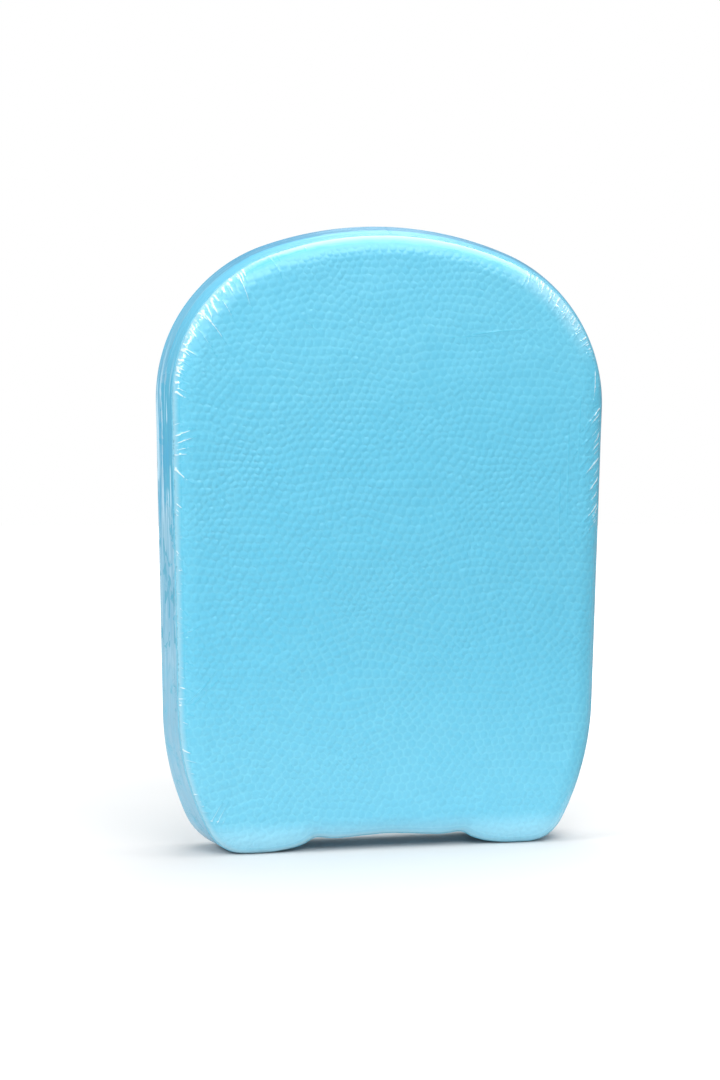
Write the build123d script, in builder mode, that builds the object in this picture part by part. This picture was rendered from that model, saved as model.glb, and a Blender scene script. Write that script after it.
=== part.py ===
"""Small bodyboard: a moulded bead-foam core in a heat-sealed film skin, standing on its tail.

Millimetres. +Z runs from the tail to the nose, X across the board, and the deck faces -Y.
The origin is on the floor under the middle of the board.
"""

import math
import os

from build123d import *

# ---------------------------------------------------------------- overall shape
THICKNESS = 51.6            # deck face to hull face
RAIL_HALF_DEPTH = 17.7      # from the middle of the board to each crease
RAIL_FLARE = 7.2            # how far the rail swells out between the creases
EDGE_RADIUS = 16.2          # roll-off from a face to its crease
EDGE_TURN = 60.0            # degrees turned by the roll-off

CROWN_RADIUS = 225.0        # arc over the nose, at the crease
SHOULDER_RADIUS = 98.0
SHOULDER_CENTRE = (45.0, 290.0)
TAIL_SIDE_RADIUS = 170.0    # long curve that draws the sides in towards the tail
TAIL_SIDE_CENTRE = (-31.6, 95.0)

# ---------------------------------------------------------------- tail
FOOT_X = 93.6               # where each foot's outer corner meets the floor
FOOT_FLAT = 10.0            # flat width of each foot
FOOT_ARC_RADIUS = 75.0      # rise from the flat towards the recess
FOOT_ARC_SPAN = 26.6
RECESS_STEP = (48.0, 8.9)   # rounded lip at each end of the recess
RECESS_DIP = (36.0, 7.9)
RECESS_CROWN_Z = 9.7
STEP_PULL = 3.6             # how far each end tangent pulls the curves of the recess
LIP_PULL = 5.5
CROWN_PULL = 12.0
LIP_FADE = 0.6              # share of the lip that is lost at the face

# ---------------------------------------------------------------- skins
FILM = 0.6
BAND_INSET = 0.65           # film thickness measured across the sloping rail
BEAD_RADIUS = 0.9           # weld bead along each crease
BEAD_DEPTH = 0.35           # how far its centre lies inside the skin
SPLICE_WIDTH = 22.0         # tape over the ends of the rail strip
SPLICE_MARGIN = 4.0
SPLICE_THICKNESS = 0.4
BAND_GAP = 0.5              # gap between the ends of the rail strip

FACE_INSET = EDGE_RADIUS * math.sin(math.radians(EDGE_TURN))
FACE_DROP = EDGE_RADIUS * (1.0 - math.cos(math.radians(EDGE_TURN)))
FACE_Y = RAIL_HALF_DEPTH + FACE_DROP
EDGE_STEPS = (60.0, 45.0, 30.0, 15.0, 0.0)

# the crown arc touches the shoulder arcs from outside
CROWN_CENTRE_Z = SHOULDER_CENTRE[1] - math.sqrt((CROWN_RADIUS - SHOULDER_RADIUS) ** 2 - SHOULDER_CENTRE[0] ** 2)

assert abs(2.0 * FACE_Y - THICKNESS) < 0.5


def half_outline(inset, flare):
    """Right half of the board's outline, from the nose to the middle of the tail recess."""
    grow = flare - inset
    crown_r = CROWN_RADIUS + grow
    shoulder_r = SHOULDER_RADIUS + grow
    side_r = TAIL_SIDE_RADIUS + grow
    sx, sz = SHOULDER_CENTRE
    tx, tz = TAIL_SIDE_CENTRE

    # the crown arc meets the shoulder arc on the line through both centres
    lean = math.atan2(sx, sz - CROWN_CENTRE_Z)
    nose = (0.0, CROWN_CENTRE_Z + crown_r)
    crown_mid = (crown_r * math.sin(lean / 2.0), CROWN_CENTRE_Z + crown_r * math.cos(lean / 2.0))
    crown_end = (sx + shoulder_r * math.sin(lean), sz + shoulder_r * math.cos(lean))

    # the side is the straight line that touches the shoulder arc and the tail side arc
    gap = math.hypot(sx - tx, sz - tz)
    side_normal = math.atan2(sz - tz, sx - tx) - math.acos((TAIL_SIDE_RADIUS - SHOULDER_RADIUS) / gap)
    shoulder_turn = (math.pi / 2.0 - lean + side_normal) / 2.0
    shoulder_mid = (sx + shoulder_r * math.cos(shoulder_turn), sz + shoulder_r * math.sin(shoulder_turn))
    side_top = (sx + shoulder_r * math.cos(side_normal), sz + shoulder_r * math.sin(side_normal))
    side_low = (tx + side_r * math.cos(side_normal), tz + side_r * math.sin(side_normal))

    # the corner arc touches the tail side arc and the floor line of the foot
    reach = FOOT_X - tx
    drop = tz - inset
    corner_r = (side_r ** 2 - reach ** 2 - drop ** 2) / (2.0 * (side_r - drop))
    corner_z = inset + corner_r
    corner_dir = math.atan2(corner_z - tz, FOOT_X - tx)
    tail_turn = (side_normal + corner_dir) / 2.0
    tail_mid = (tx + side_r * math.cos(tail_turn), tz + side_r * math.sin(tail_turn))
    tail_end = (tx + side_r * math.cos(corner_dir), tz + side_r * math.sin(corner_dir))
    corner_turn = (corner_dir - math.pi / 2.0) / 2.0
    corner_mid = (FOOT_X + corner_r * math.cos(corner_turn), corner_z + corner_r * math.sin(corner_turn))
    foot_out = (FOOT_X, inset)

    # the foot is flat, then rises along an arc to the rounded lip of the recess
    foot_in = (FOOT_X - FOOT_FLAT, inset)
    foot_r = FOOT_ARC_RADIUS - inset
    foot_turn = math.asin(FOOT_ARC_SPAN / foot_r)
    rise_mid = (
        foot_in[0] - foot_r * math.sin(foot_turn / 2.0),
        FOOT_ARC_RADIUS - foot_r * math.cos(foot_turn / 2.0),
    )
    rise_end = (foot_in[0] - foot_r * math.sin(foot_turn), FOOT_ARC_RADIUS - foot_r * math.cos(foot_turn))
    fade = 1.0 - LIP_FADE * inset / FACE_INSET
    lip = (RECESS_STEP[0], inset + RECESS_CROWN_Z + (RECESS_STEP[1] - RECESS_CROWN_Z) * fade)
    dip = (RECESS_DIP[0], inset + RECESS_CROWN_Z + (RECESS_DIP[1] - RECESS_CROWN_Z) * fade)
    middle = (0.0, inset + RECESS_CROWN_Z)

    ThreePointArc(nose, crown_mid, crown_end)
    ThreePointArc(crown_end, shoulder_mid, side_top)
    Line(side_top, side_low)
    ThreePointArc(side_low, tail_mid, tail_end)
    ThreePointArc(tail_end, corner_mid, foot_out)
    Line(foot_out, foot_in)
    ThreePointArc(foot_in, rise_mid, rise_end)
    climb = (rise_end[0] - STEP_PULL * math.cos(foot_turn), rise_end[1] + STEP_PULL * math.sin(foot_turn))
    Bezier(rise_end, climb, (lip[0] + STEP_PULL, lip[1]), lip)
    Bezier(lip, (lip[0] - LIP_PULL, lip[1]), (dip[0] + LIP_PULL, dip[1]), dip)
    Bezier(dip, (dip[0] - CROWN_PULL, dip[1]), (CROWN_PULL, middle[1]), middle)


def outline_sketch(y, inset, flare):
    """Closed outline on the plane at this distance in front of the board's middle."""
    with BuildSketch(Plane.XZ.offset(y)) as sketch:
        with BuildLine():
            half_outline(inset, flare)
            mirror(about=Plane.YZ)
        make_face()
    return sketch


def edge_sections(skin):
    """Sections of the roll-off from a crease to its face, this deep under the skin."""
    sections = []
    for turn in EDGE_STEPS:
        angle = math.radians(turn)
        inset = FACE_INSET - (EDGE_RADIUS - skin) * math.sin(angle)
        y = FACE_Y - EDGE_RADIUS + (EDGE_RADIUS - skin) * math.cos(angle)
        sections.append((y, inset))
    sections[0] = (RAIL_HALF_DEPTH, BAND_INSET if skin > 0.0 else 0.0)
    return sections


# ---------------------------------------------------------------- solids the pieces are cut from
RAIL_STATIONS = ((RAIL_HALF_DEPTH, 0.0), (0.0, RAIL_FLARE), (-RAIL_HALF_DEPTH, 0.0))

outer_cap_sections = [outline_sketch(y, inset, 0.0) for y, inset in edge_sections(0.0)]
inner_cap_sections = [outline_sketch(y, inset, 0.0) for y, inset in edge_sections(FILM)]
outer_rail_sections = [outline_sketch(y, 0.0, flare) for y, flare in RAIL_STATIONS]
inner_rail_sections = [outline_sketch(y, BAND_INSET, flare) for y, flare in RAIL_STATIONS]

with BuildPart() as cap_outer:
    loft([section.sketch for section in outer_cap_sections])

with BuildPart() as cap_inner:
    loft([section.sketch for section in inner_cap_sections])

with BuildPart() as rail_outer:
    loft([section.sketch for section in outer_rail_sections], ruled=True)

with BuildPart() as rail_inner:
    loft([section.sketch for section in inner_rail_sections], ruled=True)

# ---------------------------------------------------------------- weld bead along each crease
with BuildPart() as deck_seal_bead:
    with BuildLine(Plane.XZ.offset(RAIL_HALF_DEPTH)) as crease_line:
        half_outline(BEAD_DEPTH, 0.0)
    crease_start = crease_line.line @ 0
    with BuildSketch(Plane(origin=crease_start, x_dir=(0, 1, 0), z_dir=crease_line.line % 0)):
        Circle(BEAD_RADIUS)
    sweep(path=crease_line.wires()[0])
    mirror(about=Plane.YZ)
    # pressed flush where the board stands on it
    with Locations((0.0, -RAIL_HALF_DEPTH, -BEAD_RADIUS)):
        Box(2.0 * FOOT_X + 60.0, 4.0 * BEAD_RADIUS, 2.0 * BEAD_RADIUS, mode=Mode.SUBTRACT)
deck_seal_bead.part.label = "deck_seal_bead"


with BuildPart() as hull_seal_bead:
    add(mirror(deck_seal_bead.part, about=Plane.XZ))
hull_seal_bead.part.label = "hull_seal_bead"

# ---------------------------------------------------------------- moulded bead-foam core
with BuildPart() as foam_core:
    add(cap_inner.part)
    add(rail_inner.part)
    add(mirror(cap_inner.part, about=Plane.XZ))
    add(deck_seal_bead.part, mode=Mode.SUBTRACT)
    add(hull_seal_bead.part, mode=Mode.SUBTRACT)
foam_core.part.label = "foam_core"

# ---------------------------------------------------------------- film over the deck and over the hull
with BuildPart() as deck_film:
    add(cap_outer.part)
    add(cap_inner.part, mode=Mode.SUBTRACT)
    add(deck_seal_bead.part, mode=Mode.SUBTRACT)
deck_film.part.label = "deck_film"

with BuildPart() as hull_film:
    add(mirror(deck_film.part, about=Plane.XZ))
hull_film.part.label = "hull_film"

# ---------------------------------------------------------------- strip of film round the rail
with BuildPart() as rail_band:
    add(rail_outer.part)
    add(rail_inner.part, mode=Mode.SUBTRACT)
    add(deck_seal_bead.part, mode=Mode.SUBTRACT)
    add(hull_seal_bead.part, mode=Mode.SUBTRACT)
    # the two ends of the strip stop just short of each other in the tail recess
    with Locations((0.0, 0.0, RECESS_CROWN_Z)):
        Box(BAND_GAP, 2.0 * THICKNESS, 6.0 * FILM, mode=Mode.SUBTRACT)
rail_band.part.label = "rail_band"

# ---------------------------------------------------------------- tape over the ends of the strip
splice_sections = [outline_sketch(y, -SPLICE_THICKNESS, 0.0) for y, flare in RAIL_STATIONS]
splice_length = 2.0 * (RAIL_HALF_DEPTH - SPLICE_MARGIN)

with BuildPart() as band_splice:
    with Locations((0.0, 0.0, RECESS_CROWN_Z)):
        Box(SPLICE_WIDTH, splice_length, 8.0)
    tape_blank = loft([section.sketch for section in splice_sections], ruled=True, mode=Mode.PRIVATE)
    add(tape_blank, mode=Mode.INTERSECT)
    add(rail_outer.part, mode=Mode.SUBTRACT)
band_splice.part.label = "band_splice"

# ---------------------------------------------------------------- export
os.makedirs("parts", exist_ok=True)
export_step(foam_core.part, "parts/foam_core.step")
export_step(deck_film.part, "parts/deck_film.step")
export_step(hull_film.part, "parts/hull_film.step")
export_step(rail_band.part, "parts/rail_band.step")
export_step(deck_seal_bead.part, "parts/deck_seal_bead.step")
export_step(hull_seal_bead.part, "parts/hull_seal_bead.step")
export_step(band_splice.part, "parts/band_splice.step")
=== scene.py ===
"""Looks of the small bodyboard: film skins shrunk over foam beads, film rail, weld beads."""

import math

import bpy
import numpy as np
from mathutils import Matrix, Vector
from mathutils.geometry import delaunay_2d_cdt
from mathutils.kdtree import KDTree


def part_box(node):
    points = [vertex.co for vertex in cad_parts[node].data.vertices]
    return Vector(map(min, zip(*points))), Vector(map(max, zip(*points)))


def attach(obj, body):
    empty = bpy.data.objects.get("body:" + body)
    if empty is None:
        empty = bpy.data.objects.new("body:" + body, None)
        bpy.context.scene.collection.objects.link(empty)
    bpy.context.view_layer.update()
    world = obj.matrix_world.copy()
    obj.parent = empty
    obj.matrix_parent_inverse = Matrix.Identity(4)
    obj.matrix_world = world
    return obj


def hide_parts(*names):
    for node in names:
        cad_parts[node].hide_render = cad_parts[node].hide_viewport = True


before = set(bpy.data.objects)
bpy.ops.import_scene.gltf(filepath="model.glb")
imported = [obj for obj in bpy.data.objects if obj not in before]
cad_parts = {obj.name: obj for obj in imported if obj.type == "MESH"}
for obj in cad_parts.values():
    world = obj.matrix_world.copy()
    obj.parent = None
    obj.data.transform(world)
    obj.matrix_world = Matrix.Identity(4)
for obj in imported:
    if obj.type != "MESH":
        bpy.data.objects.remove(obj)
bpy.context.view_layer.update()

MM = 0.001

# ---------------------------------------------------------------- outline, as in the CAD (mm)
RAIL_HALF_DEPTH = 17.7
RAIL_FLARE = 7.2
EDGE_RADIUS = 16.2
EDGE_TURN = math.radians(60.0)
CROWN_RADIUS = 225.0
SHOULDER_RADIUS = 98.0
SHOULDER_CENTRE = (45.0, 290.0)
TAIL_SIDE_RADIUS = 170.0
TAIL_SIDE_CENTRE = (-31.6, 95.0)
FOOT_X = 93.6
FOOT_FLAT = 10.0
FOOT_ARC_RADIUS = 75.0
FOOT_ARC_SPAN = 26.6
RECESS_STEP = (48.0, 8.9)
RECESS_DIP = (36.0, 7.9)
RECESS_CROWN_Z = 9.7
STEP_PULL = 3.6
LIP_PULL = 5.5
CROWN_PULL = 12.0
LIP_FADE = 0.6
# rough length of each stretch of half the outline, from the nose to the middle of the recess
STRETCH = {
    "crown": 83, "shoulder": 120, "side": 197, "tail_side": 80, "corner": 34,
    "foot": 10, "foot_arc": 27, "climb": 10, "lip": 13, "recess": 36,
}
CROWN_CENTRE_Z = SHOULDER_CENTRE[1] - math.sqrt(
    (CROWN_RADIUS - SHOULDER_RADIUS) ** 2 - SHOULDER_CENTRE[0] ** 2
)
FACE_INSET = EDGE_RADIUS * math.sin(EDGE_TURN)
FACE_Y = RAIL_HALF_DEPTH + EDGE_RADIUS * (1.0 - math.cos(EDGE_TURN))


def arc_points(centre, radius, start, end, count):
    t = np.linspace(start, end, count, endpoint=False)
    return np.stack([centre[0] + radius * np.cos(t), centre[1] + radius * np.sin(t)], 1)


def line_points(start, end, count):
    t = np.linspace(0.0, 1.0, count, endpoint=False)[:, None]
    return np.array(start) * (1.0 - t) + np.array(end) * t


def bezier_points(p0, p1, p2, p3, count):
    t = np.linspace(0.0, 1.0, count, endpoint=False)[:, None]
    a, b, c, d = (np.array(p) for p in (p0, p1, p2, p3))
    return (1 - t) ** 3 * a + 3 * (1 - t) ** 2 * t * b + 3 * (1 - t) * t * t * c + t ** 3 * d


def outline(inset, flare, step):
    """The whole outline, clockwise from the nose as seen from the deck side.

    It lies inset mm inside the crease, swollen by flare mm, with points about step mm apart.
    """
    grow = flare - inset
    lean = math.atan2(SHOULDER_CENTRE[0], SHOULDER_CENTRE[1] - CROWN_CENTRE_Z)
    dx = SHOULDER_CENTRE[0] - TAIL_SIDE_CENTRE[0]
    dz = SHOULDER_CENTRE[1] - TAIL_SIDE_CENTRE[1]
    radius_gap = TAIL_SIDE_RADIUS - SHOULDER_RADIUS
    normal = math.atan2(dz, dx) - math.acos(radius_gap / math.hypot(dx, dz))
    facing = np.array([math.cos(normal), math.sin(normal)])
    side_r = TAIL_SIDE_RADIUS + grow
    reach = FOOT_X - TAIL_SIDE_CENTRE[0]
    drop = TAIL_SIDE_CENTRE[1] - inset
    corner_r = (side_r ** 2 - reach ** 2 - drop ** 2) / (2.0 * (side_r - drop))
    corner_z = inset + corner_r
    corner_dir = math.atan2(corner_z - TAIL_SIDE_CENTRE[1], reach)
    foot_in = (FOOT_X - FOOT_FLAT, inset)
    foot_r = FOOT_ARC_RADIUS - inset
    foot_turn = math.asin(FOOT_ARC_SPAN / foot_r)
    rise_end = (
        foot_in[0] - foot_r * math.sin(foot_turn),
        FOOT_ARC_RADIUS - foot_r * math.cos(foot_turn),
    )
    fade = 1.0 - LIP_FADE * inset / FACE_INSET
    lip = (RECESS_STEP[0], inset + RECESS_CROWN_Z + (RECESS_STEP[1] - RECESS_CROWN_Z) * fade)
    dip = (RECESS_DIP[0], inset + RECESS_CROWN_Z + (RECESS_DIP[1] - RECESS_CROWN_Z) * fade)
    middle = (0.0, inset + RECESS_CROWN_Z)
    climb = (
        rise_end[0] - STEP_PULL * math.cos(foot_turn),
        rise_end[1] + STEP_PULL * math.sin(foot_turn),
    )
    into_lip = (lip[0] + STEP_PULL, lip[1])
    out_of_lip = (lip[0] - LIP_PULL, lip[1])
    into_dip = (dip[0] + LIP_PULL, dip[1])
    out_of_dip = (dip[0] - CROWN_PULL, dip[1])
    count = {name: round(length / step) for name, length in STRETCH.items()}
    quarter = math.pi / 2
    crown_centre = (0.0, CROWN_CENTRE_Z)
    foot_arc_centre = (foot_in[0], FOOT_ARC_RADIUS)
    shoulder_r = SHOULDER_RADIUS + grow
    half = np.concatenate([
        arc_points(crown_centre, CROWN_RADIUS + grow, quarter, quarter - lean, count["crown"]),
        arc_points(SHOULDER_CENTRE, shoulder_r, quarter - lean, normal, count["shoulder"]),
        line_points(
            np.array(SHOULDER_CENTRE) + shoulder_r * facing,
            np.array(TAIL_SIDE_CENTRE) + side_r * facing,
            count["side"],
        ),
        arc_points(TAIL_SIDE_CENTRE, side_r, normal, corner_dir, count["tail_side"]),
        arc_points((FOOT_X, corner_z), corner_r, corner_dir, -quarter, count["corner"]),
        line_points((FOOT_X, inset), foot_in, count["foot"]),
        arc_points(foot_arc_centre, foot_r, -quarter, -quarter - foot_turn, count["foot_arc"]),
        bezier_points(rise_end, climb, into_lip, lip, count["climb"]),
        bezier_points(lip, out_of_lip, into_dip, dip, count["lip"]),
        bezier_points(dip, out_of_dip, (CROWN_PULL, middle[1]), middle, count["recess"]),
        [middle],
    ])
    return np.concatenate([half, half[1:-1][::-1] * np.array([-1.0, 1.0])])


def outward(points):
    """Unit normals of a clockwise closed outline, pointing out of the board."""
    tangent = np.roll(points, -1, 0) - np.roll(points, 1, 0)
    normal = np.stack([-tangent[:, 1], tangent[:, 0]], 1)
    return normal / np.linalg.norm(normal, axis=1)[:, None]


RIM_STEP = 0.95             # gap between points along a film's edge
CHUNK = 4000                # points measured at once, to keep memory low
CREASE = outline(0.0, 0.0, RIM_STEP)
# each crease point's place in mm along the crease
CREASE_S = np.concatenate([[0.0], np.cumsum(np.linalg.norm(np.diff(CREASE, axis=0), axis=1))])
PERIMETER = CREASE_S[-1] + np.linalg.norm(CREASE[0] - CREASE[-1])


def edge_depth(points):
    """Distance from the crease, for points in the outline's plane."""
    depth = np.zeros(len(points))
    for low in range(0, len(points), CHUNK):
        chunk = points[low:low + CHUNK]
        gap = ((chunk[:, None, :] - CREASE[None]) ** 2).sum(2)
        near = gap.argmin(1)
        nearest = CREASE[near]
        after = CREASE[(near + 1) % len(CREASE)]
        before = CREASE[near - 1]
        along = after - before
        length = np.linalg.norm(along, axis=1)
        slide = ((chunk - nearest) * along).sum(1) / length
        slide = np.clip(slide, -length / 2, length / 2)
        rest = (chunk - nearest) - along / length[:, None] * slide[:, None]
        depth[low:low + CHUNK] = np.linalg.norm(rest, axis=1)
    return depth


def smoothstep(low, high, value):
    t = np.clip((value - low) / (high - low), 0.0, 1.0)
    return t * t * (3.0 - 2.0 * t)


def roll_off(depth):
    """How far the surface has dropped from the face, at this distance in from the crease."""
    reach = np.clip(FACE_INSET - depth, 0.0, FACE_INSET)
    return EDGE_RADIUS - np.sqrt(EDGE_RADIUS ** 2 - reach ** 2)


def waves(points, rng, count, low, high):
    """Smooth random field of about -1 to 1: sine waves with wavelengths from low to high mm."""
    total = np.zeros(len(points))
    for _ in range(count):
        turn = rng.uniform(0.0, 2.0 * math.pi)
        length = rng.uniform(low, high)
        phase = rng.uniform(0.0, 2.0 * math.pi)
        run = points[:, 0] * math.cos(turn) + points[:, 1] * math.sin(turn)
        total += np.sin(run * 2.0 * math.pi / length + phase)
    return total / math.sqrt(count)


# ---------------------------------------------------------------- foam beads under the film
BEAD_PITCH = 5.45
BEAD_JITTER = 0.14          # share of the pitch
BEAD_HEIGHT = 0.48
BEAD_AREA_X = (-170.0, 170.0)
BEAD_AREA_Z = (-20.0, 430.0)
# how the rows wander: height, number of waves, shortest and longest wavelength
DRIFT_X = (2.6, 5, 60.0, 150.0)
DRIFT_Z = (3.4, 6, 45.0, 130.0)
RELAX_STEPS = 2
RELAX_SHARE = 0.6           # how far a centre moves towards the middle of its cell
RELAX_X = 160.0             # centres outside these stay where they are
RELAX_Z = (-10.0, 420.0)
NEAREST_SHARE = 0.6         # a bead's radius lies between its nearest and its mean half gap
CUSHION_POWER = 4.0         # higher makes a bead flatter on top with steeper sides
BEAD_SIZES = (0.80, 1.10)


def bead_centres(rng):
    """Wandering rows of bead centres that cover the whole board."""
    row_gap = BEAD_PITCH * math.sqrt(0.75)
    rows = np.arange(*BEAD_AREA_Z, row_gap)
    columns = np.arange(*BEAD_AREA_X, BEAD_PITCH)
    x, z = np.meshgrid(columns, rows)
    x[1::2] += BEAD_PITCH / 2.0
    points = np.stack([x.ravel(), z.ravel()], 1)
    shift_x = DRIFT_X[0] * waves(points, rng, *DRIFT_X[1:])
    shift_z = DRIFT_Z[0] * waves(points, rng, *DRIFT_Z[1:])
    points = points + np.stack([shift_x, shift_z], 1)
    return points + rng.normal(0.0, BEAD_JITTER * BEAD_PITCH, points.shape)


def bead_cells(centres):
    """Bead centres evened out, the corners of all cells, the middles of their sides, and radii."""
    where = centres
    for step in range(RELAX_STEPS + 1):
        found = delaunay_2d_cdt([tuple(p) for p in where], [], [], 0, 1e-9, False)
        where = np.array([[v.x, v.y] for v in found[0]])
        tris = np.array(found[2])
        a, b, c = where[tris[:, 0]], where[tris[:, 1]], where[tris[:, 2]]
        ab, ac = b - a, c - a
        cross = 2.0 * (ab[:, 0] * ac[:, 1] - ab[:, 1] * ac[:, 0])
        ab2, ac2 = (ab ** 2).sum(1), (ac ** 2).sum(1)
        corner = a + np.stack([
            (ac[:, 1] * ab2 - ab[:, 1] * ac2) / cross,
            (ab[:, 0] * ac2 - ac[:, 0] * ab2) / cross,
        ], 1)
        if step < RELAX_STEPS:
            total = np.zeros(where.shape)
            count = np.zeros(len(where))
            for k in range(3):
                np.add.at(total, tris[:, k], corner)
                np.add.at(count, tris[:, k], 1.0)
            middle = total / np.maximum(count, 1.0)[:, None]
            moves = (
                (np.abs(where[:, 0]) < RELAX_X)
                & (where[:, 1] > RELAX_Z[0]) & (where[:, 1] < RELAX_Z[1])
            )
            evened = (1.0 - RELAX_SHARE) * where + RELAX_SHARE * middle
            where = np.where(moves[:, None], evened, where)
    sides = np.sort(np.concatenate([tris[:, [0, 1]], tris[:, [1, 2]], tris[:, [2, 0]]]), axis=1)
    sides = np.unique(sides, axis=0)
    middle = 0.5 * (where[sides[:, 0]] + where[sides[:, 1]])
    half = 0.5 * np.linalg.norm(where[sides[:, 0]] - where[sides[:, 1]], axis=1)
    nearest = np.full(len(where), 1e9)
    total = np.zeros(len(where))
    count = np.zeros(len(where))
    for side in (0, 1):
        np.minimum.at(nearest, sides[:, side], half)
        np.add.at(total, sides[:, side], half)
        np.add.at(count, sides[:, side], 1.0)
    mean = (1.0 - NEAREST_SHARE) * total / np.maximum(count, 1.0)
    return where, corner, middle, NEAREST_SHARE * nearest + mean


def bead_field(centres, points):
    """The bead that each point lies over, and its place on it: 1 in the middle, 0 between beads."""
    tree = KDTree(len(centres))
    for number, (x, z) in enumerate(centres.tolist()):
        tree.insert((x, z, 0.0), number)
    tree.balance()
    bead = np.zeros(len(points), int)
    share = np.zeros(len(points))
    for number, (x, z) in enumerate(points.tolist()):
        (_, first, d1), (_, _, d2) = tree.find_n((x, z, 0.0), 2)
        bead[number] = first
        share[number] = (d2 - d1) / (d2 + d1)
    return bead, share


# ---------------------------------------------------------------- creases of the shrunk film
SHORTNESS = 2.2             # above 1, most creases are nearer their shortest length
CREASE_STARTS = (0.2, 1.6)  # insets from the weld
WIDTH_SPREAD = (0.6, 1.25)
HEIGHT_SPREAD = (0.35, 1.0)
BOW_SPREAD = 0.05
CREASE_TAPER = 0.75         # share of its width that a crease loses by its far end
CREASE_STEP = 1.2           # gap between mesh points along a crease
CREASE_SIDES = (-1.5, -0.75, 0.0, 0.75, 1.5)  # mesh lines along a crease, in widths from its middle


def weld_creases(rng, zones):
    """Creases that start at the weld and run in over the face.

    A zone is (start, end, count, shortest, longest, lean, spread, width, height). Start and end are
    in mm along the weld, clockwise from the nose. Lean is how far a crease moves on for each mm
    inwards, and spread is how much that differs from crease to crease.
    """
    normals = outward(CREASE)
    creases = []
    for start, end, count, shortest, longest, lean, spread, width, height in zones:
        for number in range(count):
            place = start + (end - start) * (number + rng.uniform(0.0, 1.0)) / count
            length = shortest + (longest - shortest) * rng.uniform(0.0, 1.0) ** SHORTNESS
            index = np.searchsorted(CREASE_S, place % PERIMETER) % len(CREASE)
            normal = normals[index]
            tangent = np.array([normal[1], -normal[0]])
            way = -normal + tangent * (lean + rng.normal(0.0, spread))
            begin = CREASE[index] - normal * rng.uniform(*CREASE_STARTS)
            # the length is measured inwards, and only for a strong lean along the crease
            end_point = begin + way * length / max(np.linalg.norm(way) * 0.75, 1.0)
            creases.append((
                *begin, *end_point,
                width * rng.uniform(*WIDTH_SPREAD),
                height * rng.uniform(*HEIGHT_SPREAD),
                rng.normal(0.0, BOW_SPREAD),
            ))
    return creases


def crease_frame(crease, points):
    """Share of the way along a crease, and distance to its side, for these points."""
    x0, z0, x1, z1, width, height, bow = crease
    run = np.array([x1 - x0, z1 - z0])
    length = np.linalg.norm(run)
    run = run / length
    gap = points - (x0, z0)
    share = gap @ run / length
    bend = bow * length * np.sin(np.clip(share, 0.0, 1.0) * math.pi)
    side = gap @ np.array([-run[1], run[0]]) - bend
    return share, side


def crease_height(creases, points):
    """Height that the film's creases add at these points."""
    total = np.zeros(len(points))
    for crease in creases:
        x0, z0, x1, z1, width, height, bow = crease
        pad = 3.0 * width + 1.0
        near = np.flatnonzero(
            (points[:, 0] > min(x0, x1) - pad) & (points[:, 0] < max(x0, x1) + pad)
            & (points[:, 1] > min(z0, z1) - pad) & (points[:, 1] < max(z0, z1) + pad)
        )
        share, side = crease_frame(crease, points[near])
        body = smoothstep(-0.02, 0.10, share) * (1.0 - smoothstep(0.40, 1.0, share))
        reach = (side / (width * (1.0 - CREASE_TAPER * np.clip(share, 0.0, 1.0)))) ** 2
        total[near] += height * body * (1.0 - 0.35 * reach) * np.exp(-reach)
    return total


def crease_points(creases):
    """Points on top of each crease and down its sides, so that the mesh can follow it."""
    out = []
    for x0, z0, x1, z1, width, height, bow in creases:
        run = np.array([x1 - x0, z1 - z0])
        length = np.linalg.norm(run)
        run = run / length
        across = np.array([-run[1], run[0]])
        share = np.linspace(0.0, 1.0, max(int(length / CREASE_STEP), 3))
        bend = bow * length * np.sin(share * math.pi)
        for side in CREASE_SIDES:
            shift = side * width * (1.0 - CREASE_TAPER * share) + bend
            out.append((x0, z0) + run * (share * length)[:, None] + across * shift[:, None])
    return np.concatenate(out)


def clear_of(points, others, gap):
    """Which points have none of the others in their own or a neighbouring square of this size."""
    squares = {
        (int(x // gap) + i, int(z // gap) + j)
        for x, z in others for i in (-1, 0, 1) for j in (-1, 0, 1)
    }
    return np.array([(int(x // gap), int(z // gap)) not in squares for x, z in points], bool)


def one_each(points, gap):
    """One point at most in each square of this size."""
    seen = set()
    keep = []
    for x, z in points:
        key = (int(x // gap), int(z // gap))
        keep.append(key not in seen)
        seen.add(key)
    return np.array(keep, bool)


def inside_outline(points, ring):
    """Which points lie inside a closed outline, by counting crossings."""
    inside = np.zeros(len(points), bool)
    after = np.roll(ring, -1, 0)
    for (x0, z0), (x1, z1) in zip(ring, after):
        if z0 == z1:
            continue
        crosses = (z0 > points[:, 1]) != (z1 > points[:, 1])
        reach = x0 + (points[:, 1] - z0) * (x1 - x0) / (z1 - z0)
        inside ^= crosses & (points[:, 0] < reach)
    return inside


def fill(points, loop):
    """Triangles over all the points inside the closed outline made by the first loop points."""
    edges = [(i, (i + 1) % loop) for i in range(loop)]
    found = delaunay_2d_cdt([tuple(p) for p in points], edges, [], 1, 1e-7, True)
    source = np.array([o[0] if o else 0 for o in found[3]])
    tris = source[np.array(found[2])]
    on_edge = np.flatnonzero((tris < loop).all(1))
    middle = points[tris[on_edge]].mean(1)
    outside = on_edge[~inside_outline(middle, points[:loop])]
    return np.delete(tris, outside, axis=0)


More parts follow.
